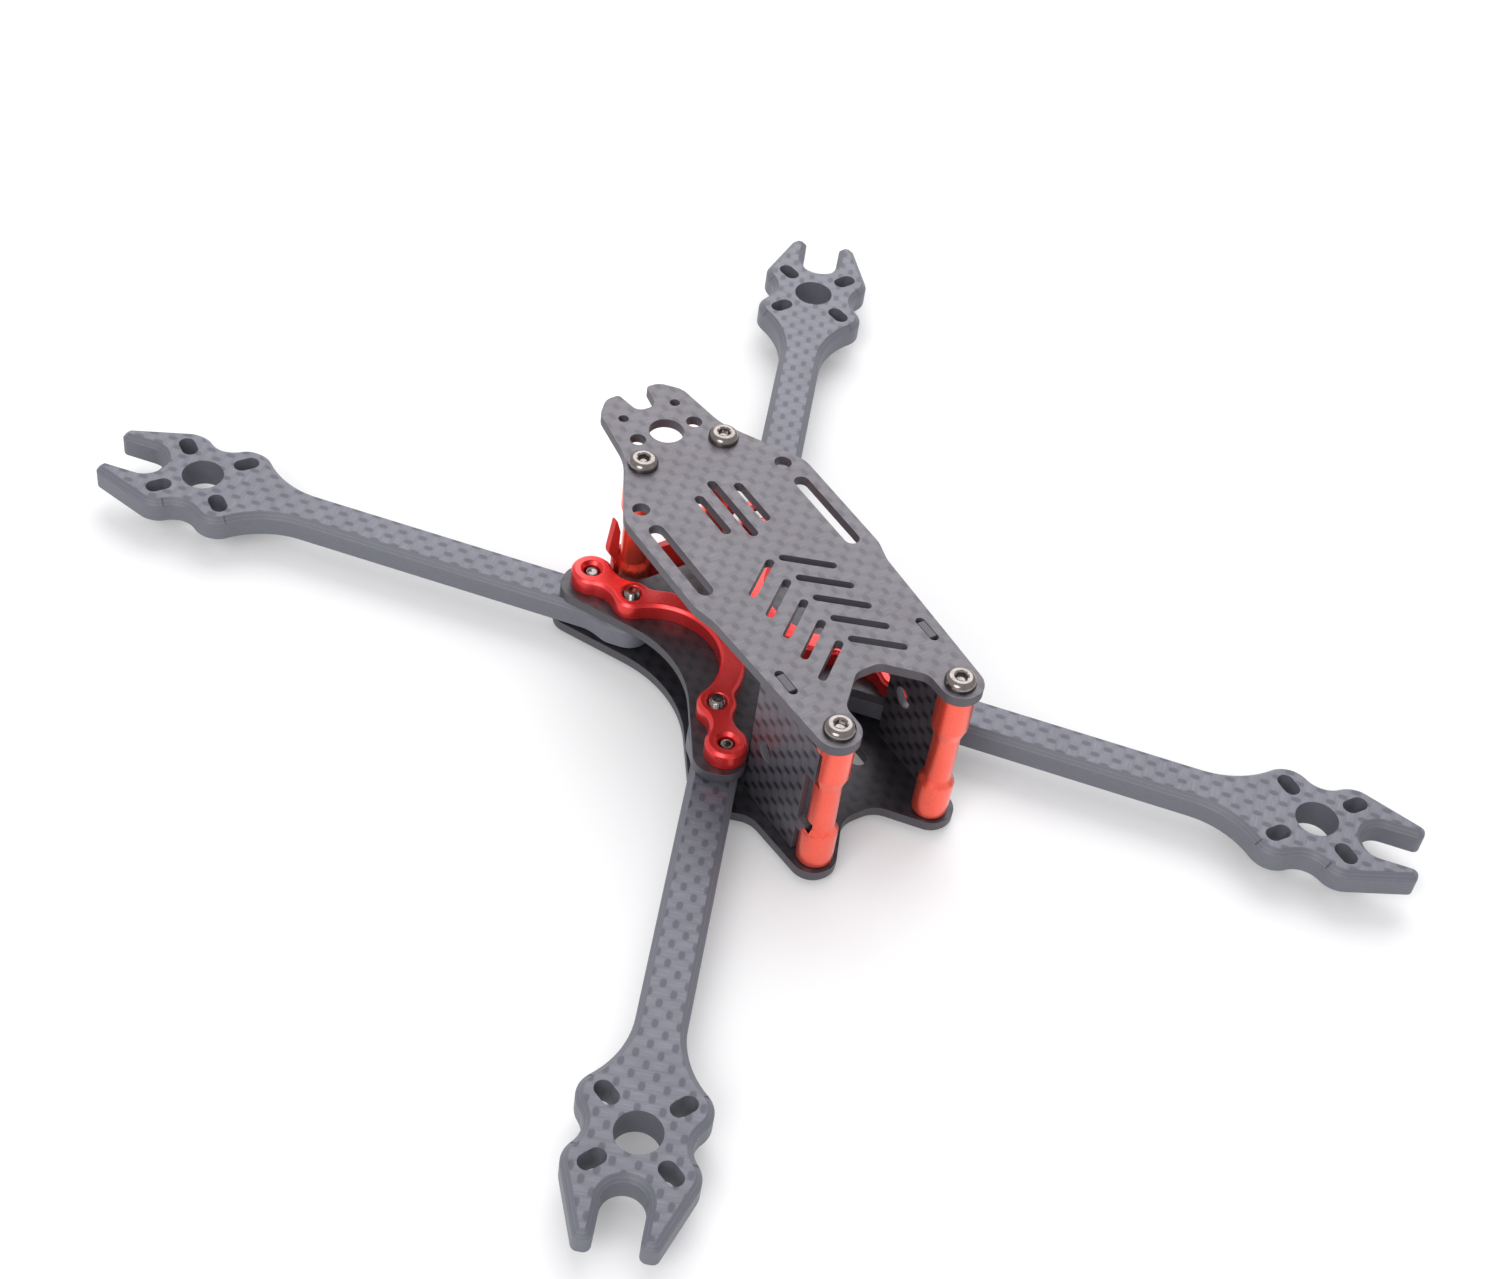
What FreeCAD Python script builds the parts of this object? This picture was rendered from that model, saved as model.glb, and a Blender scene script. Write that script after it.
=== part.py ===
"""Bare 220 mm racing quadcopter frame: carbon plates and arms, red aluminium posts and braces."""
import math
import os

import FreeCAD
import Part

# Driving dimensions in mm. X is sideways, the nose points to -Y, Z is up from the lowest screw head.
WHEELBASE_RADIUS = 110.0
ARM_ANGLE = 40.2
PLATE = 2.0
ARM_THICK = 6.0
ARM_CHAMFER = 1.2
BRACE_THICK = 3.5
POST_LENGTH = 30.5
SIDE_THICK = 1.5
BRACKET_WALL = 1.4
BRACKET_HEIGHT = 8.9
CLIP_R = 4.2
COLLAR_R = 3.3
WAIST_R = 2.5
LOW_COLLAR = 7.6
LOW_TAPER = 1.5
HIGH_COLLAR = 22.2
HIGH_TAPER = 2.8
TAP_DEPTH = 10.0
GROOVE = 1.6
GROOVE_START = -0.8
OPEN_GROOVE = 3.0
LOW_GROOVE_HEIGHT = 4.0
HIGH_GROOVE_HEIGHT = 8.8
HOLE = 1.6
TAP = 1.5

# Side plates: an upright sheet with three tongues and a slanted window.
SIDE_LENGTH = 15.9
SIDE_GAP = 3.1
TONGUE = 3.0
TONGUE_START = 0.4
LOW_TONGUE_HEIGHT = 2.4
HIGH_TONGUE_HEIGHT = 7.6
TOP_TONGUE = 4.0
TOP_TONGUE_Y = -32.65
WINDOW_Y = -31.3
WINDOW_UP = 14.0

# Braces: a bowed bar between two circles, eyes at the bolts, hollows blending them together.
BOW_X = 19.4
BOW_OUTER = 16.8
BOW_INNER = 12.2
INNER_EYE = 3.6
OUTER_EYE = 3.9
EYE_HOLLOW = 4.6
BOW_HOLLOW = 3.0
BRACE_CHAMFER = 0.6
SINK_R = 2.2
SINK_DEPTH = 0.7

# Motor pads: shaft hole and slots for 16 to 19 mm screw circles.
SHAFT_HOLE = 4.0
MOTOR_CIRCLE = 8.75
MOTOR_SLOT = (3.1, 4.95)

# Openings of the top plate.
STRAP_SLOT = (2.9, 19.5)
VENT = (1.5, 10.4)
VENT_ANGLE = 38.2
VENT_PITCH = 5.6
VENT_ROWS = 5
ANTENNA_HOLE = 3.3

HEAD_R = 2.85
HEAD_H = 1.65
HEAD_ROUND = 1.2
SHANK_R = 1.48
SOCKET_R = 1.16
SOCKET_DEPTH = 1.0
POST_SCREW = 8.0
OUTER_SCREW = 12.6
INNER_SCREW = 14.2

BOTTOM_Z = HEAD_H
ARM_Z = BOTTOM_Z + PLATE
MID_Z = ARM_Z + ARM_THICK
BRACE_Z = MID_Z + PLATE
TOP_Z = ARM_Z + POST_LENGTH

# Bolt centres, one quarter of the frame each.
OUTER_BOLT = (18.7, 24.2)
INNER_BOLT = (15.25, 15.25)
FRONT_POST = (12.5, -45.8)
REAR_POST = (8.7, 25.8)
SIDE_X = 14.7


def vec(x, y, z=0.0):
    return FreeCAD.Vector(x, y, z)


def rounded_wire(points):
    """Closed wire through the corners (x, y, radius), each corner rounded by its radius."""
    edges = []
    arcs = []
    count = len(points)
    for i in range(count):
        corner = vec(points[i][0], points[i][1])
        before = vec(points[i - 1][0], points[i - 1][1]) - corner
        after = vec(points[(i + 1) % count][0], points[(i + 1) % count][1]) - corner
        before.normalize()
        after.normalize()
        half = before.getAngle(after) / 2.0
        radius = points[i][2]
        reach = radius / math.tan(half)
        middle = before + after
        middle.normalize()
        arcs.append((corner + before * reach,
                     corner + middle * (radius / math.sin(half) - radius),
                     corner + after * reach))
    for i in range(count):
        start, middle, end = arcs[i]
        following = arcs[(i + 1) % count][0]
        edges.append(Part.Arc(start, middle, end).toShape())
        if (following - end).Length > 1e-4:
            edges.append(Part.makeLine(end, following))
    return Part.Wire(edges)


def both_sides(half):
    """Corners of the +X half, front to rear, joined to their mirror image."""
    other = [(-x, y, r) for x, y, r in reversed(half)]
    return half + other


def slab(points, z, thick):
    """Plate of the given outline between z and z + thick."""
    face = Part.Face(rounded_wire(points))
    face.translate(vec(0, 0, z))
    return face.extrude(vec(0, 0, thick))


def bore(x, y, radius, z, height):
    return Part.makeCylinder(radius, height + 2.0, vec(x, y, z - 1.0))


def slot(x, y, width, length, angle, z, height):
    """Round-ended slot cutter, its long side turned by angle degrees from +X."""
    reach = (length - width) / 2.0
    box = Part.makeBox(2 * reach, width, height + 2.0, vec(-reach, -width / 2.0, z - 1.0))
    ends = [bore(side * reach, 0, width / 2.0, z, height) for side in (-1, 1)]
    cutter = box.multiFuse(ends)
    cutter.rotate(vec(0, 0), vec(0, 0, 1), angle)
    cutter.translate(vec(x, y))
    return cutter


def four_corners(x, y):
    return [(sx * x, sy * y) for sx in (-1, 1) for sy in (-1, 1)]


def pair(x, y):
    return [(-x, y), (x, y)]


def cut_all(shape, cutters):
    return shape.cut(Part.makeCompound(cutters)) if len(cutters) > 1 else shape.cut(cutters[0])


def mirrored(shape):
    """The same piece on the other side of the frame's centre line."""
    return shape.mirror(vec(0, 0), vec(1, 0, 0))


def bottom_plate():
    outline = both_sides([
        (3.45, -41.2, 5.0), (10.57, -49.9, 4.1), (16.75, -49.9, 4.1), (17.9, -33.3, 5.0),
        (26.2, -26.3, 4.0), (12.83, 0.0, 24.2), (26.2, 26.3, 4.0), (20.4, 31.2, 3.8),
        (16.0, 26.5, 2.0), (13.3, 30.1, 3.8)])
    plate = slab(outline, BOTTOM_Z, PLATE)
    centres = four_corners(*OUTER_BOLT) + four_corners(*INNER_BOLT) + pair(*FRONT_POST) + pair(*REAR_POST)
    cutters = [bore(x, y, HOLE, BOTTOM_Z, PLATE) for x, y in centres]
    cutters += [slot(x, y, 3.2, 8.0, 90, BOTTOM_Z, PLATE) for x, y in pair(7.2, -28.0)]
    return cut_all(plate, cutters)


def mid_plate():
    outline = both_sides([
        (10.4, -20.5, 4.0), (19.1, -30.8, 4.3), (25.8, -25.2, 4.3), (12.4, 0.0, 21.9),
        (25.8, 25.2, 4.3), (19.1, 30.8, 4.3), (10.4, 20.5, 4.0)])
    plate = slab(outline, MID_Z, PLATE)
    centres = four_corners(*OUTER_BOLT) + four_corners(*INNER_BOLT)
    return cut_all(plate, [bore(x, y, HOLE, MID_Z, PLATE) for x, y in centres])


def top_plate():
    outline = both_sides([
        (2.4, -35.9, 3.0), (8.6, -41.9, 3.0), (8.6, -49.8, 3.95), (16.6, -49.8, 3.95),
        (18.3, -15.0, 6.0), (19.5, -10.5, 6.0), (19.5, 14.2, 7.0), (10.6, 29.4, 12.0),
        (9.0, 41.3, 4.0), (5.8, 44.7, 3.2), (3.0, 44.7, 0.8), (2.0, 39.2, 1.9)])
    plate = slab(outline, TOP_Z, PLATE)
    return cut_all(plate, top_plate_cutters())


def top_plate_cutters():
    """Screw holes, antenna holes, strap slots, vent slots and the slots for the side plates."""
    z = TOP_Z
    round_holes = [(12.5, -45.8, HOLE), (8.7, 25.8, HOLE), (15.25, 15.25, HOLE),
                   (5.6, 38.4, 0.95), (6.1, 32.1, 1.5)]
    cutters = [bore(side * x, y, r, z, PLATE) for x, y, r in round_holes for side in (-1, 1)]
    cutters.append(bore(0.0, 32.0, ANTENNA_HOLE, z, PLATE))
    cutters += [slot(x, y, *STRAP_SLOT, 90, z, PLATE) for x, y in pair(15.55, 0.85)]
    for row in range(VENT_ROWS):
        for side in (-1, 1):
            cutters.append(slot(side * 4.9, -9.25 - VENT_PITCH * row, *VENT, -side * VENT_ANGLE, z, PLATE))
    for x, y, length in ((-4.2, 8.5, 11.0), (0.0, 8.5, 16.0), (4.2, 8.5, 11.0)):
        cutters.append(slot(x, y, 1.8, length, 90, z, PLATE))
    reach = TOP_TONGUE / 2.0 + 0.1
    for x, y in pair(SIDE_X, TOP_TONGUE_Y):
        corner = vec(x - GROOVE / 2.0, y - reach, z - 1.0)
        cutters.append(Part.makeBox(GROOVE, 2 * reach, PLATE + 2.0, corner))
        cutters += [bore(x, y + dy, 0.85, z, PLATE) for dy in (-reach, reach)]
    return cutters


def arm_outline():
    """Arm lying along +X from the frame centre, symmetric but for its root."""
    head = [
        (95.24, 17.0, 4.35), (103.394, 4.9, 12.859), (110.0, 4.9, 7.463), (115.256, 4.9, 11.756),
        (129.5, 1.3, 6.6), (129.5, 1.3, 3.7), (118.6, 3.69, 3.7)]
    right = [(u, -v, r) for u, r, v in head]
    left = [(u, v, r) for u, r, v in reversed(head)]
    root = [(28.5, 4.35, 8.0), (24.6, 6.2, 4.0), (17.1, 6.2, 4.4), (17.1, -4.35, 3.5)]
    return right + left + root


def outer_edges(solid, z_low, z_high):
    """Outline edges lying in the lowest or highest face."""
    found = []
    for edge in solid.Edges:
        box = edge.BoundBox
        if box.ZLength < 1e-6 and (abs(box.ZMin - z_low) < 1e-6 or abs(box.ZMin - z_high) < 1e-6):
            found.append(edge)
    return found


def motor_cutters():
    """Shaft hole and the four slots that take 16 to 19 mm motor patterns."""
    cutters = [bore(WHEELBASE_RADIUS, 0, SHAFT_HOLE, 0, ARM_THICK)]
    for turn in (45, 135, 225, 315):
        x = WHEELBASE_RADIUS + MOTOR_CIRCLE * math.cos(math.radians(turn))
        y = MOTOR_CIRCLE * math.sin(math.radians(turn))
        cutters.append(slot(x, y, *MOTOR_SLOT, turn, 0, ARM_THICK))
    return cutters


def arm(x_side, y_side):
    """One arm, set on the bottom plate and pointing to its corner of the frame."""
    blank = slab(arm_outline(), 0, ARM_THICK)
    blank = blank.makeChamfer(ARM_CHAMFER, outer_edges(blank, 0, ARM_THICK))
    piece = cut_all(blank, motor_cutters())
    piece.rotate(vec(0, 0), vec(0, 0, 1), ARM_ANGLE - 90.0)
    piece.translate(vec(0, 0, ARM_Z))
    if y_side > 0:
        piece = piece.mirror(vec(0, 0), vec(0, 1, 0))
    if x_side < 0:
        piece = mirrored(piece)
    bolts = [(x_side * x, y_side * y) for x, y in (OUTER_BOLT, INNER_BOLT)]
    return cut_all(piece, [bore(x, y, HOLE, ARM_Z, ARM_THICK) for x, y in bolts])


def hollow(first, second, radius, side):
    """Circle of the given radius touching two others, left (1) or right (-1) of the line between."""
    start = vec(first[0], first[1])
    line = vec(second[0], second[1]) - start
    span = line.Length
    line.normalize()
    reach = first[2] + radius
    along = (span ** 2 + reach ** 2 - (second[2] + radius) ** 2) / (2.0 * span)
    away = math.sqrt(reach ** 2 - along ** 2) * side
    centre = start + line * along + vec(-line.y, line.x) * away
    return (centre.x, centre.y, radius, -1)


def touching_wire(circles):
    """Outline running along circles (x, y, radius, turn) that each touch the next one."""
    count = len(circles)
    touches = []
    for i in range(count):
        here = vec(circles[i][0], circles[i][1])
        there = vec(circles[(i + 1) % count][0], circles[(i + 1) % count][1])
        share = circles[i][2] / (circles[i][2] + circles[(i + 1) % count][2])
        touches.append(here + (there - here) * share)
    edges = []
    for i in range(count):
        x, y, radius, turn = circles[i]
        start = math.atan2(touches[i - 1].y - y, touches[i - 1].x - x)
        end = math.atan2(touches[i].y - y, touches[i].x - x)
        middle = start + turn * ((turn * (end - start)) % (2.0 * math.pi)) / 2.0
        halfway = vec(x + radius * math.cos(middle), y + radius * math.sin(middle))
        edges.append(Part.Arc(touches[i - 1], halfway, touches[i]).toShape())
    return Part.Wire(edges)


def brace_outline():
    """Bowed bar with a round eye at each of its four bolts, on the +X side."""
    inner_eye = (INNER_BOLT[0], -INNER_BOLT[1], INNER_EYE, 1)
    outer_eye = (OUTER_BOLT[0], -OUTER_BOLT[1], OUTER_EYE, 1)
    outside = (BOW_X, 0.0, BOW_OUTER, 1)
    inside = (BOW_X, 0.0, BOW_INNER, -1)
    low = [hollow(outside, inner_eye, BOW_HOLLOW, -1), inner_eye,
           hollow(inner_eye, outer_eye, EYE_HOLLOW, -1), outer_eye,
           hollow(inner_eye, outer_eye, EYE_HOLLOW, 1), inner_eye]
    high = [(x, -y, radius, turn) for x, y, radius, turn in reversed(low)]
    return touching_wire([outside] + low + [inside] + high)


def brace():
    face = Part.Face(brace_outline())
    face.translate(vec(0, 0, BRACE_Z))
    body = face.extrude(vec(0, 0, BRACE_THICK))
    top = BRACE_Z + BRACE_THICK
    body = body.makeChamfer(BRACE_CHAMFER, outer_edges(body, top, top))
    centres = [(x, side * y) for x, y in (OUTER_BOLT, INNER_BOLT) for side in (-1, 1)]
    holes = [bore(x, y, TAP, BRACE_Z, BRACE_THICK) for x, y in centres]
    holes += [Part.makeCone(TAP, SINK_R, SINK_DEPTH, vec(x, y, top - SINK_DEPTH)) for x, y in centres]
    return cut_all(body, holes)


def post_body(x, y):
    """Waisted round post with a tapped hole at each end."""
    base = ARM_Z
    top = TOP_Z
    profile = [(0, base), (COLLAR_R - 0.3, base), (COLLAR_R, base + 0.3), (COLLAR_R, base + LOW_COLLAR),
               (WAIST_R, base + LOW_COLLAR + LOW_TAPER), (WAIST_R, base + HIGH_COLLAR - HIGH_TAPER),
               (COLLAR_R, base + HIGH_COLLAR), (COLLAR_R, top - 0.2), (COLLAR_R - 0.2, top), (0, top)]
    points = [vec(r, 0, z) for r, z in profile]
    face = Part.Face(Part.makePolygon(points + [points[0]]))
    body = face.revolve(vec(0, 0), vec(0, 0, 1), 360)
    taps = [Part.makeCylinder(TAP, TAP_DEPTH, vec(0, 0, z)) for z in (base, top - TAP_DEPTH)]
    body = cut_all(body, taps)
    body.translate(vec(x, y))
    return body


def front_post():
    """Front post on the +X side, slotted from behind to hold the side plate.

    The upper slot is open at the outer flank, and both stop short of the post's front.
    """
    x, y = FRONT_POST
    low = vec(SIDE_X - GROOVE / 2.0, y + GROOVE_START, ARM_Z + LOW_COLLAR - 1.6)
    high = vec(SIDE_X - GROOVE / 2.0, y + GROOVE_START, ARM_Z + HIGH_COLLAR - HIGH_TAPER)
    length = 2.0 * COLLAR_R
    grooves = [Part.makeBox(GROOVE, length, LOW_GROOVE_HEIGHT, low),
               Part.makeBox(OPEN_GROOVE, length, HIGH_GROOVE_HEIGHT, high)]
    return cut_all(post_body(x, y), grooves)


def rear_bracket():
    """Thin cross wall clipped behind the rear posts, with an upswept horn at each end."""
    x, y = REAR_POST
    foot = ARM_Z
    bar_top = foot + BRACKET_HEIGHT
    half = [(12.3, foot, 0.4), (12.3, foot + 8.9, 1.5), (14.4, foot + 12.2, 2.5),
            (13.2, foot + 20.6, 0.25), (11.2, foot + 13.8, 2.0), (11.6, foot + 9.8, 0.5),
            (11.0, bar_top, 0.5)]
    wall = Part.Face(rounded_wire(both_sides(half))).extrude(vec(0, 0, BRACKET_WALL))
    wall.rotate(vec(0, 0), vec(1, 0, 0), 90)
    wall.translate(vec(0, y + BRACKET_WALL, 0))
    clips = [Part.makeCylinder(CLIP_R, BRACKET_HEIGHT, vec(px, py, foot)) for px, py in pair(x, y)]
    open_front = Part.makeBox(60.0, CLIP_R + 1.0, 40.0, vec(-30.0, y - CLIP_R - 1.0, foot - 1.0))
    bores = [bore(px, py, COLLAR_R + 0.05, foot, 30.0) for px, py in pair(x, y)]
    return cut_all(wall.multiFuse(clips).removeSplitter(), bores + [open_front])


def side_plate():
    """Upright plate behind the +X front post, tongued into its grooves and through the top plate."""
    front = FRONT_POST[1]
    start = front + TONGUE_START
    plate = Part.makeBox(SIDE_THICK, SIDE_LENGTH, POST_LENGTH, vec(0, front + SIDE_GAP, ARM_Z))
    low = vec(0, start, ARM_Z + LOW_COLLAR - 1.5)
    high = vec(0, start, ARM_Z + HIGH_COLLAR - 2.0)
    above = vec(0, TOP_TONGUE_Y - TOP_TONGUE / 2.0, TOP_Z - 1.0)
    tongues = [Part.makeBox(SIDE_THICK, TONGUE, LOW_TONGUE_HEIGHT, low),
               Part.makeBox(SIDE_THICK, TONGUE, HIGH_TONGUE_HEIGHT, high),
               Part.makeBox(SIDE_THICK, TOP_TONGUE, PLATE + 1.0, above)]
    plate = plate.multiFuse(tongues).removeSplitter()
    window = slot(0, 0, 3.2, 4.2, 45, 0, SIDE_THICK)
    window.rotate(vec(0, 0), vec(0, 1, 0), 90)
    window.rotate(vec(0, 0), vec(1, 0, 0), 90)
    window.translate(vec(0, WINDOW_Y, ARM_Z + WINDOW_UP))
    plate = plate.cut(window)
    plate.translate(vec(SIDE_X - SIDE_THICK / 2.0, 0, 0))
    return plate


def button_screw(x, y, z, length, upward):
    """M3 button head screw; the head sits at z, below the shank when upward is true."""
    head = Part.makeCylinder(HEAD_R, HEAD_H, vec(0, 0, 0))
    rim = [e for e in head.Edges if abs(e.BoundBox.ZMin - HEAD_H) < 1e-6 and e.BoundBox.ZLength < 1e-6]
    head = head.makeFillet(HEAD_ROUND, rim)
    turns = [math.radians(60 * i) for i in range(7)]
    floor = HEAD_H - SOCKET_DEPTH
    corners = [vec(SOCKET_R * math.cos(turn), SOCKET_R * math.sin(turn), floor) for turn in turns]
    socket = Part.Face(Part.makePolygon(corners)).extrude(vec(0, 0, SOCKET_DEPTH + 1.0))
    shank = Part.makeCylinder(SHANK_R, length + 0.4, vec(0, 0, -length))
    screw = head.fuse(shank).removeSplitter().cut(socket)
    if upward:
        screw.rotate(vec(0, 0), vec(1, 0, 0), 180)
    screw.translate(vec(x, y, z))
    return screw


def screw_set(centres, z, length, upward):
    return Part.makeCompound([button_screw(x, y, z, length, upward) for x, y in centres])


def save(name, shape):
    shape.exportStep(os.path.join("parts", name + ".step"))


def main():
    os.makedirs("parts", exist_ok=True)
    save("bottom_plate", bottom_plate())
    save("mid_plate", mid_plate())
    save("top_plate", top_plate())
    for y_side, end in ((-1, "front"), (1, "rear")):
        for x_side, hand in ((1, "left"), (-1, "right")):
            save("arm_" + end + "_" + hand, arm(x_side, y_side))
    pieces = {"brace": brace(), "post_front": front_post(), "post_rear": post_body(*REAR_POST),
              "side_plate": side_plate()}
    for name, shape in pieces.items():
        save(name + "_left", shape)
        save(name + "_right", mirrored(shape))
    save("rear_bracket", rear_bracket())
    post_centres = pair(*FRONT_POST) + pair(*REAR_POST)
    save("screws_top", screw_set(post_centres, TOP_Z + PLATE, POST_SCREW, False))
    save("screws_post_foot", screw_set(post_centres, BOTTOM_Z, POST_SCREW, True))
    save("screws_arm_outer", screw_set(four_corners(*OUTER_BOLT), BOTTOM_Z, OUTER_SCREW, True))
    save("screws_arm_inner", screw_set(four_corners(*INNER_BOLT), BOTTOM_Z, INNER_SCREW, True))


main()
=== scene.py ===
import math

import bmesh
import bpy
from mathutils import Matrix, Vector


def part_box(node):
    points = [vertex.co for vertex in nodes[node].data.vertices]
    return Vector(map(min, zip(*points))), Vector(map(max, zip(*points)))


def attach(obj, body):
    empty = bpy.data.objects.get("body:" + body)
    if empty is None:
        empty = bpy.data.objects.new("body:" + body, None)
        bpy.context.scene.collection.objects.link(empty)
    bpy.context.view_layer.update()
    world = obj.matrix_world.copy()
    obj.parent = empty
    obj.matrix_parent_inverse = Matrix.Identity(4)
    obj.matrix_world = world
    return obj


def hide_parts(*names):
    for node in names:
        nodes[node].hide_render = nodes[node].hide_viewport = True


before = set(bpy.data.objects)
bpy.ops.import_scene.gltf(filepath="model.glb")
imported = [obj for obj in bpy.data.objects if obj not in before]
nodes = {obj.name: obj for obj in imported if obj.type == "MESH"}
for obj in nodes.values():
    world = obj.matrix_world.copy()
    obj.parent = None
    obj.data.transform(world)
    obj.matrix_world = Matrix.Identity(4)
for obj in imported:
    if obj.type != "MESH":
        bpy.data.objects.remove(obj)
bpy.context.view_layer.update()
mm = 0.001
noiseMiddle = {"From Min": 0.3, "From Max": 0.7}     # the span most noise values fall in
waveSpan = {"From Min": -1.0, "From Max": 1.0}


def linearColour(hexValue):
    channels = [int(hexValue[i:i + 2], 16) / 255 for i in (1, 3, 5)]
    linear = [c / 12.92 if c <= 0.04045 else ((c + 0.055) / 1.055) ** 2.4 for c in channels]
    return (*linear, 1.0)


def addNode(tree, kind, settings=None, links=None):
    node = tree.nodes.new(kind)
    for name, value in (settings or {}).items():
        setattr(node, name, value)
    for name, value in (links or {}).items():
        if isinstance(value, bpy.types.NodeSocket):
            tree.links.new(value, node.inputs[name])
        else:
            node.inputs[name].default_value = value
    return node


def newMaterial(name):
    material = bpy.data.materials.new(name)
    material.use_nodes = True
    tree = material.node_tree
    tree.nodes.clear()
    shader = addNode(tree, "ShaderNodeBsdfPrincipled")
    addNode(tree, "ShaderNodeOutputMaterial", None, {"Surface": shader.outputs["BSDF"]})
    return material, tree, shader


def newPiece(name, mesh, material):
    piece = bpy.data.objects.new(name, mesh)
    bpy.context.scene.collection.objects.link(piece)
    piece.data.materials.clear()
    piece.data.materials.append(material)
    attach(piece, "root")
    return piece


# plain weave of 3K tows in satin epoxy: dark graphite that takes its brightness from the sheen of its
# filaments, cells running along or across, and a routed edge that shows the plies as fine lines
weave = {
    "towMm": 2.05,        # width of one tow
    "plyMm": 0.5,         # real plies are about 0.25 mm, drawn twice as coarse so that they show
    # along and across: the tone step between the two cell directions is painted reflection
    "along": "#4e4a51",
    "across": "#5f5b61",
    "edge": "#47454b",
    "edgeLine": "#5a575e",
    "gap": "#444047",
    "sheen": 0.55,        # how much of the face reflects as bare graphite filament
    "cellReach": 0.5,     # how squarely a lengthwise cell ends, along and across its tow
    "cellSpread": 1.8,
    "cellEdge": {"From Min": 0.1, "From Max": 0.75},
    "crownPower": 0.35,
    "gapEdge": {"From Min": 0.05, "From Max": 0.5, "To Min": 0.22, "To Max": 0.0},
    "streaksPerMetre": (260.0, 3200.0),
    "streakTone": {"To Min": 0.86, "To Max": 1.1},
    "cloudsPerMetre": 120.0,
    "cloudTone": {"To Min": 0.92, "To Max": 1.06},
    "dustPerMetre": 900.0,
    "faceFrom": {"From Min": 0.8, "From Max": 0.95},
    "roughness": {"To Min": 0.62, "To Max": 0.42},
    "reliefStrength": 0.35,
    "reliefMm": 0.06,
    "epoxyIor": 1.55,
    "coatWeight": 0.25,
    "coatRoughness": 0.35,
}
armWeave = {**weave, "along": "#474751", "across": "#62626c", "gap": "#484750",
            "edge": "#5e6069", "edgeLine": "#70717a"}
# side plates: lengthwise cells painted near black and crosswise ones light, a painted reflection between
# the two directions; the dark tones also paint the shade the plates' inner faces lie in
uprightWeave = {**weave, "along": "#2a282e", "across": "#5f5b63", "gap": "#26242a"}
# bottom and mid plates: darker colours than the top plate, painted shade for plates that lie under the top
# plate
lowerWeave = {**weave, "along": "#333137", "across": "#434147", "gap": "#302e34",
              "edge": "#3c3a40", "edgeLine": "#504e55"}


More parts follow.
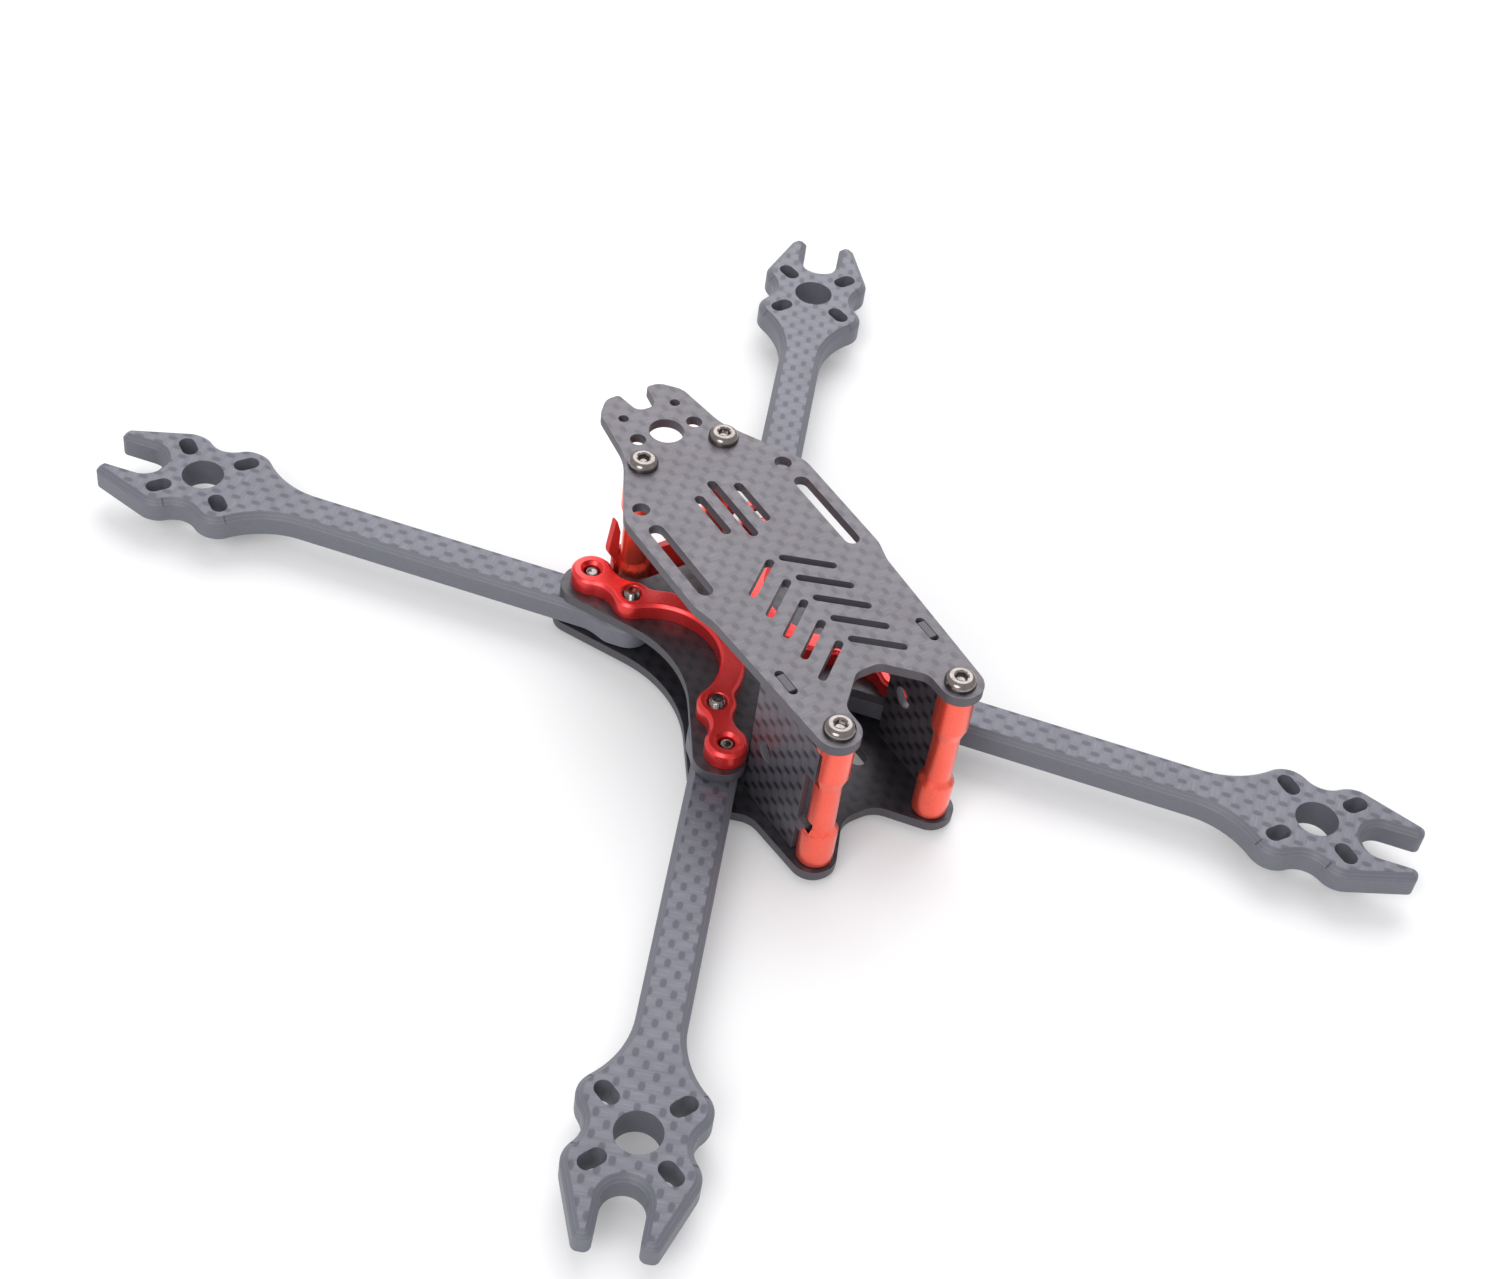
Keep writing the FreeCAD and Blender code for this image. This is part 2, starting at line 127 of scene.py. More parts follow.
def wovenCarbon(name, turnDegrees=90.0, plane="xy", look=weave):
    material, tree, shader = newMaterial(name)
    place = addNode(tree, "ShaderNodeTexCoord").outputs["Object"]
    turned = addNode(tree, "ShaderNodeVectorRotate", {"rotation_type": "Z_AXIS"},
                     {"Vector": place, "Angle": math.radians(turnDegrees)}).outputs[0]
    parts = addNode(tree, "ShaderNodeSeparateXYZ", None, {0: turned}).outputs
    outward = 2 if plane == "xy" else 0      # the axis that points out of the plate
    u, v, thickness = parts[(outward + 1) % 3], parts[(outward + 2) % 3], parts[outward]
    normal = addNode(tree, "ShaderNodeNewGeometry").outputs["Normal"]
    facing = addNode(tree, "ShaderNodeSeparateXYZ", None, {0: normal}).outputs[outward]

    # one tow is half a wave, so the sign of the two waves' product tells the two fibre directions apart
    waves = []
    for side in (u, v):
        phase = addNode(tree, "ShaderNodeMath", {"operation": "MULTIPLY"},
                        {0: side, 1: math.pi / (look["towMm"] * mm)}).outputs[0]
        waves.append(addNode(tree, "ShaderNodeMath", {"operation": "SINE"}, {0: phase}).outputs[0])
    product = addNode(tree, "ShaderNodeMath", {"operation": "MULTIPLY"},
                      {0: waves[0], 1: waves[1]}).outputs[0]
    crowns = [addNode(tree, "ShaderNodeMath", {"operation": "ABSOLUTE"}, {0: wave}).outputs[0]
              for wave in waves]

    # the tows that run lengthwise show as narrow cells, painted darker than the crosswise ones: painted
    # reflection standing in for how each fibre direction catches the light
    reach = addNode(tree, "ShaderNodeMath", {"operation": "POWER"},
                    {0: crowns[0], 1: look["cellReach"]}).outputs[0]
    spread = addNode(tree, "ShaderNodeMath", {"operation": "POWER"},
                     {0: crowns[1], 1: look["cellSpread"]}).outputs[0]
    cell = addNode(tree, "ShaderNodeMath", {"operation": "MULTIPLY"}, {0: reach, 1: spread}).outputs[0]
    isLengthwise = addNode(tree, "ShaderNodeMath", {"operation": "GREATER_THAN"},
                           {0: product, 1: 0.0}).outputs[0]
    narrowed = addNode(tree, "ShaderNodeMath", {"operation": "MULTIPLY"},
                       {0: cell, 1: isLengthwise}).outputs[0]
    isAlong = addNode(tree, "ShaderNodeMapRange", {"interpolation_type": "SMOOTHSTEP"},
                      {"Value": narrowed, **look["cellEdge"]}).outputs[0]
    crownMix = addNode(tree, "ShaderNodeMix", None,
                       {"Factor": isAlong, "A": crowns[0], "B": crowns[1]}).outputs["Result"]
    fill = addNode(tree, "ShaderNodeMath", {"operation": "ABSOLUTE"}, {0: product}).outputs[0]
    rounded = addNode(tree, "ShaderNodeMath", {"operation": "POWER"},
                      {0: fill, 1: look["crownPower"]}).outputs[0]
    crown = addNode(tree, "ShaderNodeMath", {"operation": "MULTIPLY"}, {0: crownMix, 1: rounded}).outputs[0]

    # filament streaks run with each tow
    few, many = look["streaksPerMetre"]
    flat = addNode(tree, "ShaderNodeCombineXYZ", None, {"X": u, "Y": v}).outputs[0]
    streaks = []
    for stretch in ((few, many, 1.0), (many, few, 1.0)):
        scaled = addNode(tree, "ShaderNodeVectorMath", {"operation": "MULTIPLY"},
                         {0: flat, 1: stretch}).outputs[0]
        streaks.append(addNode(tree, "ShaderNodeTexNoise", None,
                               {"Vector": scaled, "Scale": 1.0, "Detail": 2.0}).outputs["Fac"])
    streak = addNode(tree, "ShaderNodeMix", None,
                     {"Factor": isAlong, "A": streaks[1], "B": streaks[0]}).outputs["Result"]
    cloud = addNode(tree, "ShaderNodeTexNoise", None,
                    {"Vector": place, "Scale": look["cloudsPerMetre"], "Detail": 3.0}).outputs["Fac"]

    # painted reflection: lengthwise and crosswise cells take different tones
    tow = addNode(tree, "ShaderNodeMix", {"data_type": "RGBA"},
                  {"Factor": isAlong, "A": linearColour(look["across"]),
                   "B": linearColour(look["along"])}).outputs[2]
    gapAmount = addNode(tree, "ShaderNodeMapRange", {"interpolation_type": "SMOOTHSTEP"},
                        {"Value": crown, **look["gapEdge"]}).outputs[0]
    gapped = addNode(tree, "ShaderNodeMix", {"data_type": "RGBA"},
                     {"Factor": gapAmount, "A": tow, "B": linearColour(look["gap"])}).outputs[2]
    shade = addNode(tree, "ShaderNodeMapRange", None,
                    {"Value": streak, **noiseMiddle, **look["streakTone"]}).outputs[0]
    blotch = addNode(tree, "ShaderNodeMapRange", None,
                     {"Value": cloud, **noiseMiddle, **look["cloudTone"]}).outputs[0]
    tone = addNode(tree, "ShaderNodeMath", {"operation": "MULTIPLY"}, {0: shade, 1: blotch}).outputs[0]
    toned = addNode(tree, "ShaderNodeMix", {"data_type": "RGBA", "blend_type": "MULTIPLY"},
                    {"Factor": 1.0, "A": gapped, "B": tone}).outputs[2]

    # cut edge: plies stacked through the thickness, with a dry, dusty finish
    plyPhase = addNode(tree, "ShaderNodeMath", {"operation": "MULTIPLY"},
                       {0: thickness, 1: 2 * math.pi / (look["plyMm"] * mm)}).outputs[0]
    plies = addNode(tree, "ShaderNodeMath", {"operation": "SINE"}, {0: plyPhase}).outputs[0]
    plyTone = addNode(tree, "ShaderNodeMapRange", None, {"Value": plies, **waveSpan}).outputs[0]
    dust = addNode(tree, "ShaderNodeTexNoise", None,
                   {"Vector": place, "Scale": look["dustPerMetre"], "Detail": 4.0}).outputs["Fac"]
    plyMixed = addNode(tree, "ShaderNodeMath", {"operation": "MULTIPLY"}, {0: plyTone, 1: dust}).outputs[0]
    edgeColour = addNode(tree, "ShaderNodeMix", {"data_type": "RGBA"},
                         {"Factor": plyMixed, "A": linearColour(look["edge"]),
                          "B": linearColour(look["edgeLine"])}).outputs[2]
    flatness = addNode(tree, "ShaderNodeMath", {"operation": "ABSOLUTE"}, {0: facing}).outputs[0]
    isFace = addNode(tree, "ShaderNodeMapRange", {"interpolation_type": "SMOOTHSTEP"},
                     {"Value": flatness, **look["faceFrom"]}).outputs[0]
    colour = addNode(tree, "ShaderNodeMix", {"data_type": "RGBA"},
                     {"Factor": isFace, "A": edgeColour, "B": toned}).outputs[2]
    rough = addNode(tree, "ShaderNodeMapRange", None, {"Value": isFace, **look["roughness"]}).outputs[0]
    relief = addNode(tree, "ShaderNodeMix", None,
                     {"Factor": isFace, "A": plyMixed, "B": crown}).outputs["Result"]
    bump = addNode(tree, "ShaderNodeBump", None,
                   {"Height": relief, "Strength": look["reliefStrength"],
                    "Distance": look["reliefMm"] * mm}).outputs[0]
    sheen = addNode(tree, "ShaderNodeMath", {"operation": "MULTIPLY"},
                    {0: isFace, 1: look["sheen"]}).outputs[0]
    tree.links.new(colour, shader.inputs["Base Color"])
    tree.links.new(sheen, shader.inputs["Metallic"])
    tree.links.new(rough, shader.inputs["Roughness"])
    tree.links.new(bump, shader.inputs["Normal"])
    shader.inputs["IOR"].default_value = look["epoxyIor"]
    shader.inputs["Coat Weight"].default_value = look["coatWeight"]
    shader.inputs["Coat Roughness"].default_value = look["coatRoughness"]
    return material


# bead blasted 6061 with a red dye anodise: coloured metal under a thin clear oxide,
# slightly mottled and finely marked by the cutter
anodise = {
    "roughness": 0.31,
    "roughSpread": (-0.05, 0.06),
    "mottlePerMm": 0.15,
    "metal": 0.7,
    "oxide": 0.5,         # the clear oxide layer
    "oxideRoughness": 0.2,
    "grainMm": 0.12,
    "cutterMm": 0.35,     # real marks are near 0.1 mm, drawn coarser so that they show
    "cutterShare": 0.25,
    "reliefStrength": 0.12,
    "reliefMm": 0.02,
}


def anodisedAluminium(name, colour, deep, look=anodise):
    material, tree, shader = newMaterial(name)
    smoother, duller = look["roughSpread"]
    place = addNode(tree, "ShaderNodeTexCoord").outputs["Object"]
    mottle = addNode(tree, "ShaderNodeTexNoise", None,
                     {"Vector": place, "Scale": look["mottlePerMm"] / mm, "Detail": 4.0}).outputs["Fac"]
    grain = addNode(tree, "ShaderNodeTexNoise", None,
                    {"Vector": place, "Scale": 1.0 / (look["grainMm"] * mm), "Detail": 2.0}).outputs["Fac"]
    height = addNode(tree, "ShaderNodeSeparateXYZ", None, {0: place}).outputs[2]
    ringPhase = addNode(tree, "ShaderNodeMath", {"operation": "MULTIPLY"},
                        {0: height, 1: 2 * math.pi / (look["cutterMm"] * mm)}).outputs[0]
    rings = addNode(tree, "ShaderNodeMath", {"operation": "SINE"}, {0: ringPhase}).outputs[0]
    dyed = addNode(tree, "ShaderNodeMix", {"data_type": "RGBA"},
                   {"Factor": mottle, "A": linearColour(colour), "B": linearColour(deep)}).outputs[2]
    rough = addNode(tree, "ShaderNodeMapRange", None,
                    {"Value": grain, **noiseMiddle, "To Min": look["roughness"] + smoother,
                     "To Max": look["roughness"] + duller}).outputs[0]
    marks = addNode(tree, "ShaderNodeMath", {"operation": "MULTIPLY_ADD"},
                    {0: rings, 1: look["cutterShare"], 2: grain}).outputs[0]
    bump = addNode(tree, "ShaderNodeBump", None,
                   {"Height": marks, "Strength": look["reliefStrength"],
                    "Distance": look["reliefMm"] * mm}).outputs[0]
    tree.links.new(dyed, shader.inputs["Base Color"])
    tree.links.new(rough, shader.inputs["Roughness"])
    tree.links.new(bump, shader.inputs["Normal"])
    shader.inputs["Metallic"].default_value = look["metal"]
    shader.inputs["Coat Weight"].default_value = look["oxide"]
    shader.inputs["Coat Roughness"].default_value = look["oxideRoughness"]
    return material


# fused filament in red TPU; each bead is painted lighter along its crest and darker in its groove, a
# painted sheen and painted shade; real layers are 0.2 mm high and are drawn half as coarse again so that
# they show
printed = {
    "colour": "#e23b34",
    "shade": "#c92722",
    "layerMm": 0.3,
    "wanderPerMm": 0.6,
    "roughness": 0.45,
    "reliefStrength": 0.4,
    "reliefMm": 0.04,
    "glowWeight": 0.08,   # light that soaks a little way into the soft plastic
    "glowRadius": (0.002, 0.0006, 0.0005),
    "glowScale": 0.3,
}


def printedTpu(name, look=printed):
    material, tree, shader = newMaterial(name)
    place = addNode(tree, "ShaderNodeTexCoord").outputs["Object"]
    height = addNode(tree, "ShaderNodeSeparateXYZ", None, {0: place}).outputs[2]
    beadPhase = addNode(tree, "ShaderNodeMath", {"operation": "MULTIPLY"},
                        {0: height, 1: 2 * math.pi / (look["layerMm"] * mm)}).outputs[0]
    beads = addNode(tree, "ShaderNodeMath", {"operation": "SINE"}, {0: beadPhase}).outputs[0]
    bead = addNode(tree, "ShaderNodeMapRange", None, {"Value": beads, **waveSpan}).outputs[0]
    wander = addNode(tree, "ShaderNodeTexNoise", None,
                     {"Vector": place, "Scale": look["wanderPerMm"] / mm, "Detail": 3.0}).outputs["Fac"]
    amount = addNode(tree, "ShaderNodeMath", {"operation": "MULTIPLY"}, {0: bead, 1: wander}).outputs[0]
    # painted sheen on the bead crests and painted shade in the grooves, varied by noise
    colour = addNode(tree, "ShaderNodeMix", {"data_type": "RGBA"},
                     {"Factor": amount, "A": linearColour(look["shade"]),
                      "B": linearColour(look["colour"])}).outputs[2]
    bump = addNode(tree, "ShaderNodeBump", None,
                   {"Height": bead, "Strength": look["reliefStrength"],
                    "Distance": look["reliefMm"] * mm}).outputs[0]
    tree.links.new(colour, shader.inputs["Base Color"])
    tree.links.new(bump, shader.inputs["Normal"])
    shader.inputs["Roughness"].default_value = look["roughness"]
    shader.inputs["Subsurface Weight"].default_value = look["glowWeight"]
    shader.inputs["Subsurface Radius"].default_value = look["glowRadius"]
    shader.inputs["Subsurface Scale"].default_value = look["glowScale"]
    return material


# cold headed alloy steel, nickel plated: bright and slightly warm, with faint die marks
screwSteel = {
    "colour": "#9d9693",
    "dull": "#6e6764",
    "cloudsPerMm": 1.1,
    "grainPerMm": 9.0,
    "metal": 1.0,
    "roughness": 0.12,
    "roughSpread": 0.12,
    "reliefStrength": 0.1,
    "reliefMm": 0.01,
    # socket colours: painted shade for the deep hexagon recess
    "socket": "#100e0f",
    "socketShadeFleck": "#242122",
    "shadeFlecksPerMm": 2.0,
    "socketShadeMetal": 0.6,
    "socketRoughness": 0.5,
}


def socketShadeSteel(name, look=screwSteel):
    # the hexagon socket is painted dark, painted shade for its deep recess, with flecks from noise
    material, tree, shader = newMaterial(name)
    place = addNode(tree, "ShaderNodeTexCoord").outputs["Object"]
    fleckNoise = addNode(tree, "ShaderNodeTexNoise", None,
                   {"Vector": place, "Scale": look["shadeFlecksPerMm"] / mm, "Detail": 3.0}).outputs["Fac"]
    colour = addNode(tree, "ShaderNodeMix", {"data_type": "RGBA"},
                     {"Factor": fleckNoise, "A": linearColour(look["socket"]),
                      "B": linearColour(look["socketShadeFleck"])}).outputs[2]
    tree.links.new(colour, shader.inputs["Base Color"])
    shader.inputs["Metallic"].default_value = look["socketShadeMetal"]
    shader.inputs["Roughness"].default_value = look["socketRoughness"]
    return material


def platedSteel(name, look=screwSteel):
    material, tree, shader = newMaterial(name)
    place = addNode(tree, "ShaderNodeTexCoord").outputs["Object"]
    cloud = addNode(tree, "ShaderNodeTexNoise", None,
                    {"Vector": place, "Scale": look["cloudsPerMm"] / mm, "Detail": 4.0}).outputs["Fac"]
    grain = addNode(tree, "ShaderNodeTexNoise", None,
                    {"Vector": place, "Scale": look["grainPerMm"] / mm, "Detail": 2.0}).outputs["Fac"]
    colour = addNode(tree, "ShaderNodeMix", {"data_type": "RGBA"},
                     {"Factor": cloud, "A": linearColour(look["colour"]),
                      "B": linearColour(look["dull"])}).outputs[2]
    rough = addNode(tree, "ShaderNodeMapRange", None,
                    {"Value": cloud, **noiseMiddle,
                     "To Min": look["roughness"],
                     "To Max": look["roughness"] + look["roughSpread"]}).outputs[0]
    bump = addNode(tree, "ShaderNodeBump", None,
                   {"Height": grain, "Strength": look["reliefStrength"],
                    "Distance": look["reliefMm"] * mm}).outputs[0]
    tree.links.new(colour, shader.inputs["Base Color"])
    tree.links.new(rough, shader.inputs["Roughness"])
    tree.links.new(bump, shader.inputs["Normal"])
    shader.inputs["Metallic"].default_value = look["metal"]
    return material


# how the sharp edges of a plate, post or brace are broken
edgeWork = {"weldM": 1e-6, "flatDegrees": 0.6, "sharpDegrees": 28.0, "steps": 2, "profile": 0.5,
            "shadeDegrees": 50}


def workedCopy(nodeName, material, breakMm, work=edgeWork):
    shape = bmesh.new()
    shape.from_mesh(nodes[nodeName].data)
    bmesh.ops.remove_doubles(shape, verts=shape.verts, dist=work["weldM"])
    bmesh.ops.dissolve_limit(shape, angle_limit=math.radians(work["flatDegrees"]),
                             verts=shape.verts, edges=shape.edges)
    limit = math.radians(work["sharpDegrees"])
    sharp = [e for e in shape.edges if len(e.link_faces) == 2 and e.calc_face_angle() > limit]
    bmesh.ops.bevel(shape, geom=sharp, offset=breakMm * mm, segments=work["steps"],
                    profile=work["profile"], affect="EDGES", clamp_overlap=True)
    for face in shape.faces:
        face.smooth = True
    mesh = bpy.data.meshes.new(nodeName + "_worked")
    shape.to_mesh(mesh)
    shape.free()
    mesh.set_sharp_from_angle(angle=math.radians(work["shadeDegrees"]))
    piece = newPiece(nodeName + "_worked", mesh, material)
    normals = piece.modifiers.new("flatFaces", "WEIGHTED_NORMAL")
    normals.keep_sharp = True
    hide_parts(nodeName)
    return piece


plateEdges = {"breakMm": 0.13}
armAngle = 40.2      # degrees between an arm and the line from nose to tail
carbonStraight = wovenCarbon("wovenCarbonFibre")
carbonLower = wovenCarbon("wovenCarbonFibreShadedLower", 90.0, "xy", lowerWeave)
carbonUpright = wovenCarbon("wovenCarbonFibreUpright", 0.0, "yz", uprightWeave)
carbonArms = {side: wovenCarbon("wovenCarbonFibreArm" + label, side * (90 - armAngle), "xy", armWeave)
              for side, label in ((1, "A"), (-1, "B"))}
workedCopy("top_plate", carbonStraight, plateEdges["breakMm"])
for plate in ("bottom_plate", "mid_plate"):
    workedCopy(plate, carbonLower, plateEdges["breakMm"])
for plate in ("side_plate_left", "side_plate_right"):
    workedCopy(plate, carbonUpright, plateEdges["breakMm"])
for armName, side in (("arm_front_left", 1), ("arm_rear_right", 1),
                      ("arm_front_right", -1), ("arm_rear_left", -1)):
    workedCopy(armName, carbonArms[side], plateEdges["breakMm"])
print("carbon plates and arms made")

# the posts are painted a lighter, more orange red than the braces of the same anodise: painted light
# standing in for the light the posts catch
metalEdges = {"breakMm": 0.1, "braceHex": ("#f23a37", "#dc282b"), "postLitHex": ("#ff6a52", "#f4523f")}
braceMetal = anodisedAluminium("anodisedAluminiumBrace", *metalEdges["braceHex"])
litPostMetal = anodisedAluminium("anodisedAluminiumPostLit", *metalEdges["postLitHex"])
for side in ("left", "right"):
    workedCopy("brace_" + side, braceMetal, metalEdges["breakMm"])
    workedCopy("post_front_" + side, litPostMetal, metalEdges["breakMm"])
    workedCopy("post_rear_" + side, litPostMetal, metalEdges["breakMm"])
bracketEdges = {"breakMm": 0.15}
workedCopy("rear_bracket", printedTpu("printedTpu"), bracketEdges["breakMm"])
print("posts, braces and bracket made")


screwSpec = {
    "headRadiusMm": 2.85, "headHeightMm": 1.65, "flatRadiusMm": 1.62,
    "rimHeightMm": 0.3, "seatBreakMm": 0.08, "domeSteps": 10,
    "socketAcrossMm": 2.0, "socketDepthMm": 1.0, "socketChamferMm": 0.22,
    "coneDepthMm": 0.25, "coneShare": 0.6,       # the drill's cone in the socket's floor
    "cornerRatio": 1.155,                        # a hexagon's corner radius over half its width
    "shankRadiusMm": 1.48, "pitchMm": 0.5, "threadDepthMm": 0.27, "threadedMm": 5.0,
    "plainMm": 1.0, "runOutMm": 0.3, "leadInMm": 0.45, "rowsPerPitch": 6,
    "flankSlope": 1.25, "flankStart": 0.12,
    "tipBreakMm": 0.42, "tipCupRadiusMm": 0.55, "tipCupDepthMm": 0.12,
    "centreRadiusMm": 0.02,                      # the small face that closes each end
    "firstTurnDegrees": 7.0, "nextTurnDegrees": 23.0, "shadeDegrees": 32, "segments": 48,
}


def screwCentres(nodeName):
    # one entry for each separate solid in the node: centre x, centre y, lowest and highest z
    shape = bmesh.new()
    shape.from_mesh(nodes[nodeName].data)
    bmesh.ops.remove_doubles(shape, verts=shape.verts, dist=edgeWork["weldM"])
    seen = set()
    found = []
    for start in shape.verts:
        if start.index in seen:
            continue
        seen.add(start.index)
        group = [start]
        for vert in group:
            for edge in vert.link_edges:
                other = edge.other_vert(vert)
                if other.index not in seen:
                    seen.add(other.index)
                    group.append(other)
        xs = [v.co.x for v in group]
        ys = [v.co.y for v in group]
        zs = [v.co.z for v in group]
        found.append(((min(xs) + max(xs)) / 2, (min(ys) + max(ys)) / 2, min(zs), max(zs)))
    shape.free()
    return found


def addRing(shape, radiusAt, z, count):
    ring = []
    for i in range(count):
        angle = 2 * math.pi * i / count
        radius = radiusAt(angle)
        ring.append(shape.verts.new((radius * math.cos(angle), radius * math.sin(angle), z)))
    return ring


def joinRings(shape, rings):
    for low, high in zip(rings, rings[1:]):
        count = len(low)
        for i in range(count):
            j = (i + 1) % count
            shape.faces.new((low[i], low[j], high[j], high[i]))


def buttonScrew(shape, spec, lengthMm):
    # runs from the socket's floor over the dome and down the shank, head side up, head seat at z = 0
    count = spec["segments"]
    apothem = spec["socketAcrossMm"] / 2
    head = spec["headHeightMm"]
    centre = spec["centreRadiusMm"]

    def hexagon(grow):
        return lambda angle: (apothem + grow) / math.cos((angle % (math.pi / 3)) - math.pi / 6)

    floor = head - spec["socketDepthMm"]
    rings = [addRing(shape, lambda a: centre, floor - spec["coneDepthMm"], count),
             addRing(shape, lambda a: spec["coneShare"] * apothem, floor, count),
             addRing(shape, hexagon(0.0), floor, count),
             addRing(shape, hexagon(0.0), head - spec["socketChamferMm"], count),
             addRing(shape, lambda a: apothem * spec["cornerRatio"] + spec["socketChamferMm"],
                     head, count)]
    flat = spec["flatRadiusMm"]
    rim = spec["headRadiusMm"]
    rimHeight = spec["rimHeightMm"]
    seatBreak = spec["seatBreakMm"]
    for i in range(spec["domeSteps"] + 1):
        turn = math.pi / 2 * i / spec["domeSteps"]
        radius = flat + (rim - flat) * math.sin(turn)
        height = rimHeight + (head - rimHeight) * math.cos(turn)
        rings.append(addRing(shape, lambda a, r=radius: r, height, count))
    rings.append(addRing(shape, lambda a: rim, seatBreak, count))
    rings.append(addRing(shape, lambda a: rim - seatBreak, 0.0, count))
    shank = spec["shankRadiusMm"]
    rings.append(addRing(shape, lambda a: shank, 0.0, count))
    tip = -lengthMm
    threadTop = tip + min(spec["threadedMm"], lengthMm - spec["plainMm"])
    rings.append(addRing(shape, lambda a: shank, threadTop + spec["runOutMm"], count))
    rows = int(round((threadTop - tip - spec["leadInMm"]) / (spec["pitchMm"] / spec["rowsPerPitch"])))
    for i in range(rows + 1):
        z = threadTop - i * spec["pitchMm"] / spec["rowsPerPitch"]

        def thread(angle, z=z):
            phase = (z / spec["pitchMm"] - angle / (2 * math.pi)) % 1.0
            depth = abs(2 * phase - 1)
            flank = spec["flankSlope"] * depth - spec["flankStart"]
            return shank - spec["threadDepthMm"] * min(1.0, max(0.0, flank))
        rings.append(addRing(shape, thread, z, count))
    rings.append(addRing(shape, lambda a: shank - spec["tipBreakMm"], tip, count))
    rings.append(addRing(shape, lambda a: spec["tipCupRadiusMm"], tip, count))
    rings.append(addRing(shape, lambda a: centre, tip + spec["tipCupDepthMm"], count))
    # the socket's walls and floor take the second material, painted dark as shade
    joinRings(shape, rings[:4])
    shape.faces.new(rings[0])
    for face in shape.faces:
        face.material_index = 1
    joinRings(shape, rings[3:])
    shape.faces.new(rings[-1])


def screwPieces(nodeName, material, headUp, spec=screwSpec):
    whole = bmesh.new()
    for number, (x, y, low, high) in enumerate(screwCentres(nodeName)):
        one = bmesh.new()
        buttonScrew(one, spec, (high - low) / mm - spec["headHeightMm"])
        # no two sockets in a row point the same way
        turnDegrees = spec["nextTurnDegrees"] * number + spec["firstTurnDegrees"]
        turn = Matrix.Rotation(math.radians(turnDegrees), 4, "Z")
        if headUp:
            seat = Matrix.Translation((x, y, high - spec["headHeightMm"] * mm))
        else:
            seat = (Matrix.Translation((x, y, low + spec["headHeightMm"] * mm))
                    @ Matrix.Rotation(math.pi, 4, "X"))
        bmesh.ops.transform(one, matrix=seat @ Matrix.Scale(mm, 4) @ turn, verts=one.verts)
        holder = bpy.data.meshes.new("screwHolder")
        one.to_mesh(holder)
        one.free()
        whole.from_mesh(holder)
        bpy.data.meshes.remove(holder)
    bmesh.ops.recalc_face_normals(whole, faces=whole.faces)
    for face in whole.faces:
        face.smooth = True
    mesh = bpy.data.meshes.new(nodeName + "_threaded")
    whole.to_mesh(mesh)
    whole.free()
    mesh.set_sharp_from_angle(angle=math.radians(spec["shadeDegrees"]))
    piece = newPiece(nodeName + "_threaded", mesh, material)
    piece.data.materials.append(socketShadeMetal)
    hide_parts(nodeName)
    return piece


steel = platedSteel("platedSteel")
socketShadeMetal = socketShadeSteel("socketShadeSteel")
screwPieces("screws_top", steel, True)
for group in ("screws_post_foot", "screws_arm_outer", "screws_arm_inner"):
    screwPieces(group, steel, False)
print("screws made")


# white floor that glows a little by itself: a painted glow that fills the shadows
floorSpec = {
    "halfM": 3.0,
    "colour": "#e2e2e2",
    "spot": "#e4e4e4",
    "spotsPerMetre": 3.0,
    "glowColour": "#ffffff",
    "glow": 0.17,
    "roughness": 0.8,
    "specular": 0.2,
}


def makeFloor(spec=floorSpec):
    material, tree, shader = newMaterial("paleStudioFloor")
    place = addNode(tree, "ShaderNodeTexCoord").outputs["Object"]
    cloud = addNode(tree, "ShaderNodeTexNoise", None,
                    {"Vector": place, "Scale": spec["spotsPerMetre"], "Detail": 2.0}).outputs["Fac"]
    colour = addNode(tree, "ShaderNodeMix", {"data_type": "RGBA"},
                     {"Factor": cloud, "A": linearColour(spec["colour"]),
                      "B": linearColour(spec["spot"])}).outputs[2]
    tree.links.new(colour, shader.inputs["Base Color"])
    shader.inputs["Emission Color"].default_value = linearColour(spec["glowColour"])
    shader.inputs["Emission Strength"].default_value = spec["glow"]
    shader.inputs["Roughness"].default_value = spec["roughness"]
    shader.inputs["Specular IOR Level"].default_value = spec["specular"]
    shape = bmesh.new()
    size = spec["halfM"]
    corners = ((-size, -size), (size, -size), (size, size), (-size, size))
    shape.faces.new([shape.verts.new((x, y, 0.0)) for x, y in corners])
    mesh = bpy.data.meshes.new("floor")
    shape.to_mesh(mesh)
    shape.free()
    floor = bpy.data.objects.new("floor", mesh)
    floor.data.materials.append(material)
    bpy.context.scene.collection.objects.link(floor)


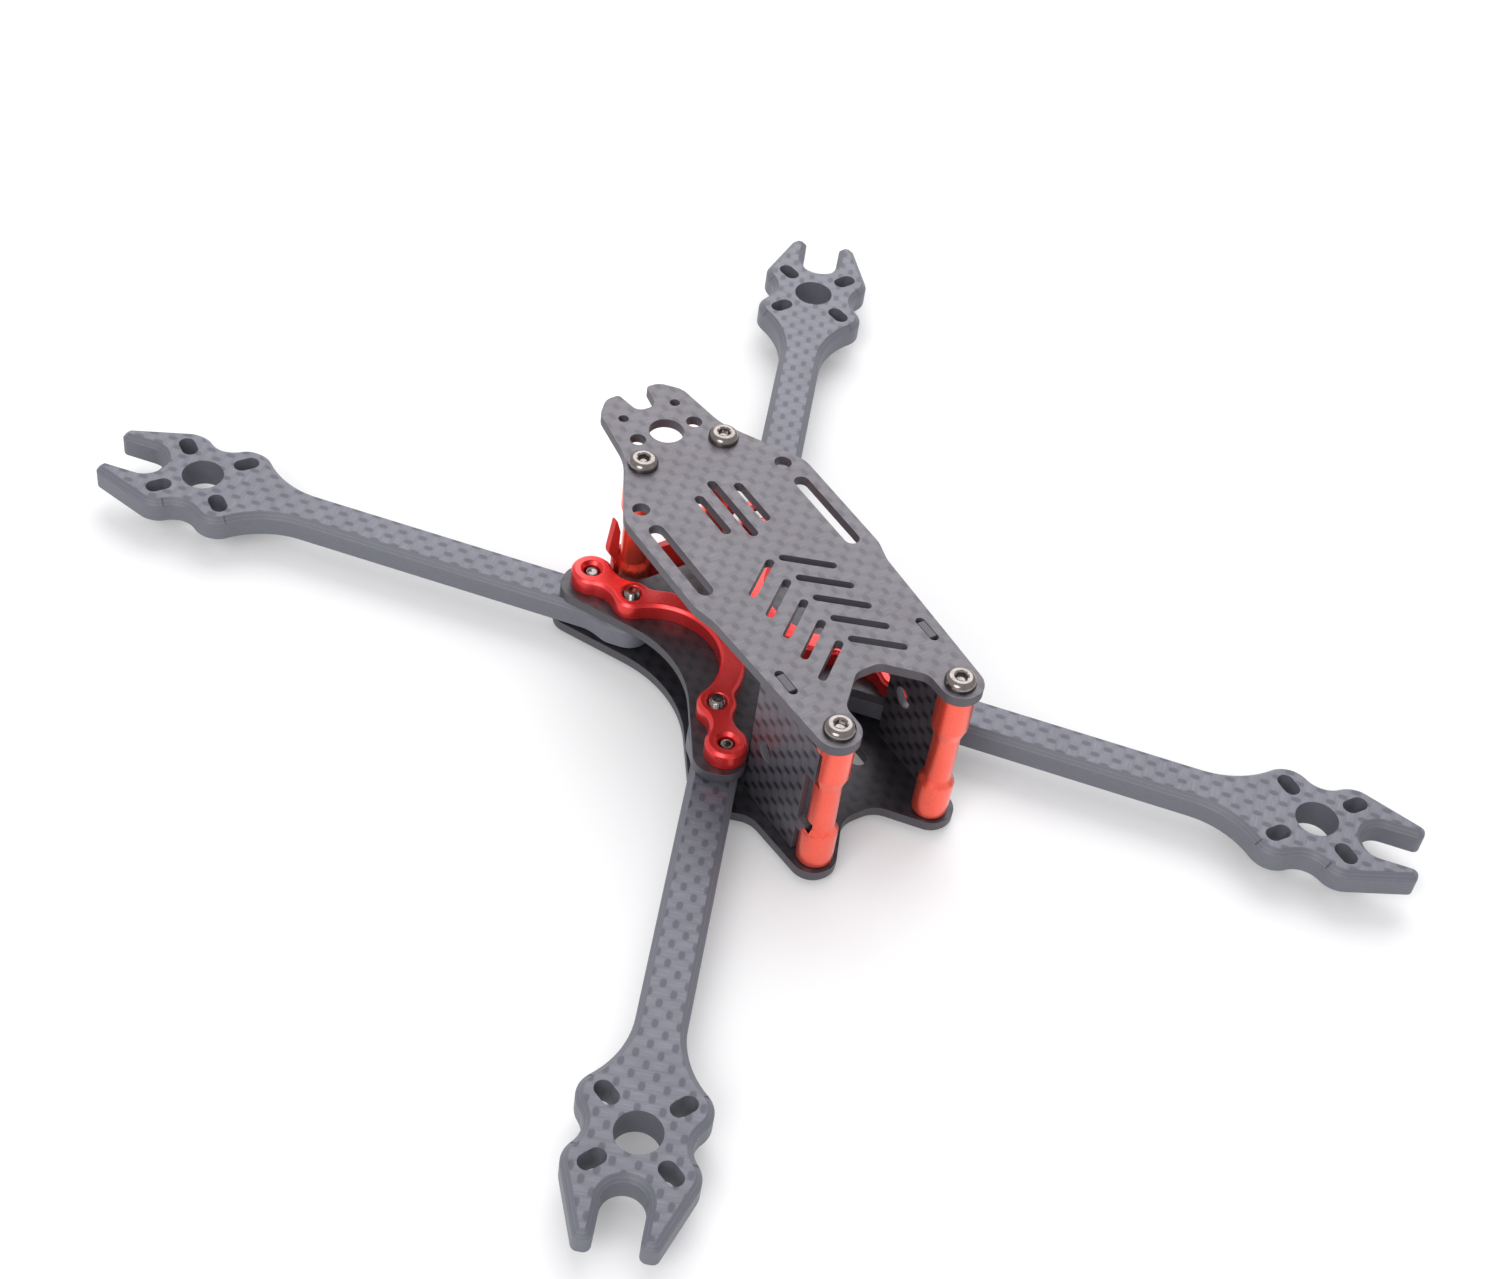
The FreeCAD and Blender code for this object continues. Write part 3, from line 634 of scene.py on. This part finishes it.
def makeLight(name, place, aim, size, watts, colour):
    lamp = bpy.data.lights.new(name, "AREA")
    lamp.shape = "DISK"
    lamp.size = size
    lamp.energy = watts
    lamp.color = linearColour(colour)[:3]
    holder = bpy.data.objects.new(name, lamp)
    bpy.context.scene.collection.objects.link(holder)
    holder.location = place
    holder.rotation_euler = (Vector(aim) - Vector(place)).to_track_quat("-Z", "Y").to_euler()


lightSpec = {
    "tentColour": "#fcfcff",
    "tentStrength": 0.7,
    "lampColour": "#ffffff",
    "aim": (0, 0, 0.01),
    "overhead": {"place": (0.62, 0.78, 1.05), "size": 1.6, "watts": 15.0},
    "side": {"place": (-0.9, -0.5, 0.8), "size": 0.8, "watts": 6.5},
}


def makeLights(spec=lightSpec):
    world = bpy.data.worlds.new("lightTent")
    world.use_nodes = True
    world.node_tree.nodes.clear()
    glow = addNode(world.node_tree, "ShaderNodeBackground", None,
                   {"Color": linearColour(spec["tentColour"]), "Strength": spec["tentStrength"]})
    addNode(world.node_tree, "ShaderNodeOutputWorld", None, {"Surface": glow.outputs[0]})
    bpy.context.scene.world = world
    for name in ("overhead", "side"):
        lamp = spec[name]
        makeLight(name, lamp["place"], spec["aim"], lamp["size"], lamp["watts"], spec["lampColour"])


cameraSpec = {
    "azimuth": -38.37, "elevation": 44.89, "roll": 9.04, "distanceM": 0.4537,
    "lensMm": 58.44, "sensorMm": 36.0, "clipStartM": 0.01, "aimAside": (0.00118, -0.00022),
}


def makeCamera(spec=cameraSpec):
    around = math.radians(spec["azimuth"])
    up = math.radians(spec["elevation"])
    back = Vector((math.sin(around) * math.cos(up), -math.cos(around) * math.cos(up), math.sin(up)))
    aim = Vector((*spec["aimAside"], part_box("arm_front_left")[1].z))
    data = bpy.data.cameras.new("camera")
    data.lens = spec["lensMm"]
    data.sensor_width = spec["sensorMm"]
    data.clip_start = spec["clipStartM"]
    camera = bpy.data.objects.new("camera", data)
    bpy.context.scene.collection.objects.link(camera)
    ahead = (-back).to_track_quat("-Z", "Y").to_matrix().to_4x4()
    turn = ahead @ Matrix.Rotation(math.radians(spec["roll"]), 4, "Z")
    camera.matrix_world = Matrix.Translation(aim + back * spec["distanceM"]) @ turn
    bpy.context.scene.camera = camera


makeFloor()
makeLights()
makeCamera()
bpy.context.scene.view_settings.view_transform = "Standard"
print("floor, lights and camera made")
